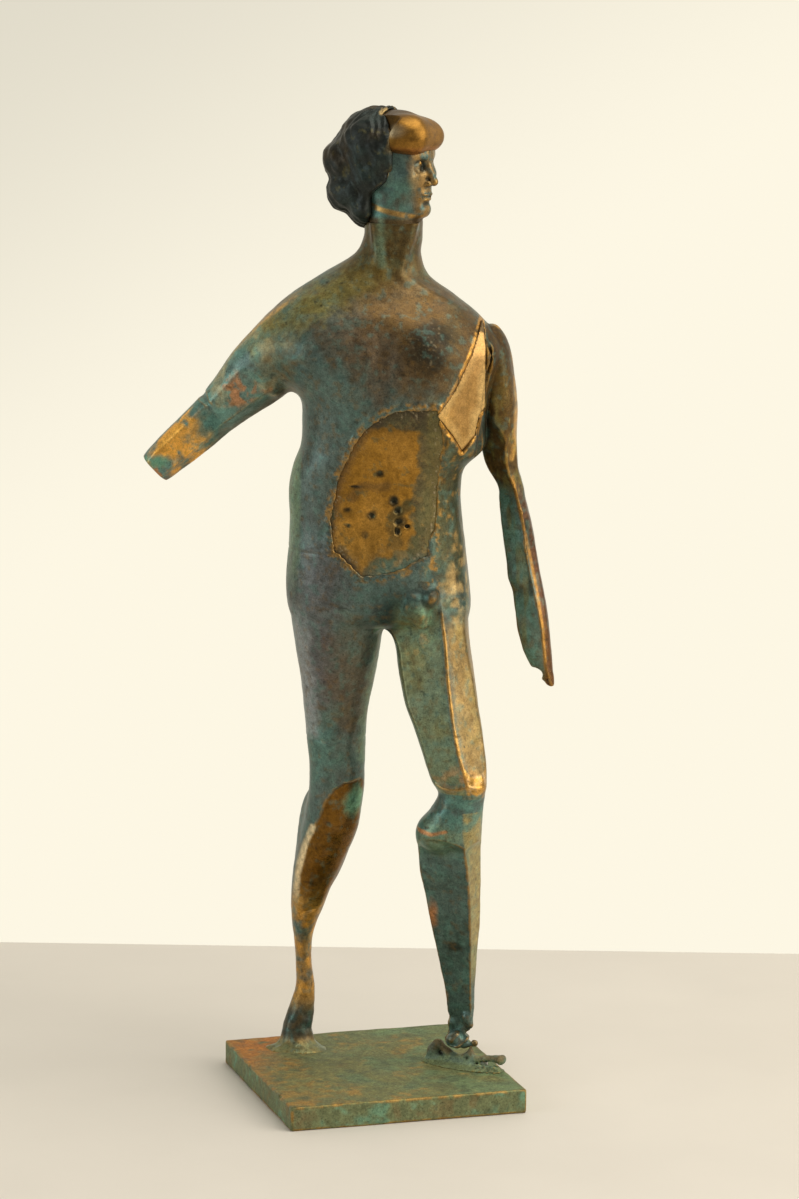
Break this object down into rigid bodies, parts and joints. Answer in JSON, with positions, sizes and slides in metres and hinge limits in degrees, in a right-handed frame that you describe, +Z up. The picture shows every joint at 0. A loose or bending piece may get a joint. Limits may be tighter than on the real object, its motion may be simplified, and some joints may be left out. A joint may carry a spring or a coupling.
{
  "type": "bronze figurine",
  "caption": "Cast bronze striding figure on a square plate, one arm raised as a stub and one hanging, built from doweled castings with inset panels.",
  "frame": {"origin": "centre of the square plate's underside", "axes": "+Z up; plate edges along X and Y; the figure strides towards -Y, turned a little towards -X"},
  "size_m": [0.1644, 0.1, 0.406],
  "materials": {
    "plate_patina": "matt green patina over bronze, edges worn to brown and gold",
    "figure_patina": "satin brown and blue-green patina over bronze with rubbed golden ridges",
    "hair_patina": "dark grey-green satin patina",
    "golden_bronze": "rubbed golden bronze with dark pits",
    "dowel_steel": "ground steel dowel",
    "screw_steel": "countersunk socket screw"
  },
  "bodies": {
    "root": {"base_plate": "plate_patina", "left_foot_fragment": "plate_patina", "right_lower_leg": "figure_patina", "right_thigh": "figure_patina", "left_thigh": "figure_patina", "left_lower_leg": "figure_patina", "pelvis": "figure_patina", "torso": "figure_patina", "belly_panel": "golden_bronze", "flank_panel": "golden_bronze", "right_upper_arm": "figure_patina", "right_forearm": "figure_patina", "left_upper_arm": "figure_patina", "left_forearm": "figure_patina", "head": "figure_patina", "hair": "hair_patina", "forelock": "golden_bronze", "neck_pin": "dowel_steel", "right_shoulder_pin": "dowel_steel", "left_shoulder_pin": "dowel_steel", "right_elbow_pin": "dowel_steel", "left_elbow_pin": "dowel_steel", "waist_pins": "dowel_steel", "right_hip_pin": "dowel_steel", "left_hip_pin": "dowel_steel", "right_knee_pin": "dowel_steel", "left_knee_pin": "dowel_steel", "hair_pins": "dowel_steel", "forelock_pin": "dowel_steel", "belly_panel_pins": "dowel_steel", "flank_panel_pin": "dowel_steel", "leg_screw": "screw_steel", "leg_locating_pin": "dowel_steel", "foot_screws": "screw_steel"}
  },
  "joints": []
}
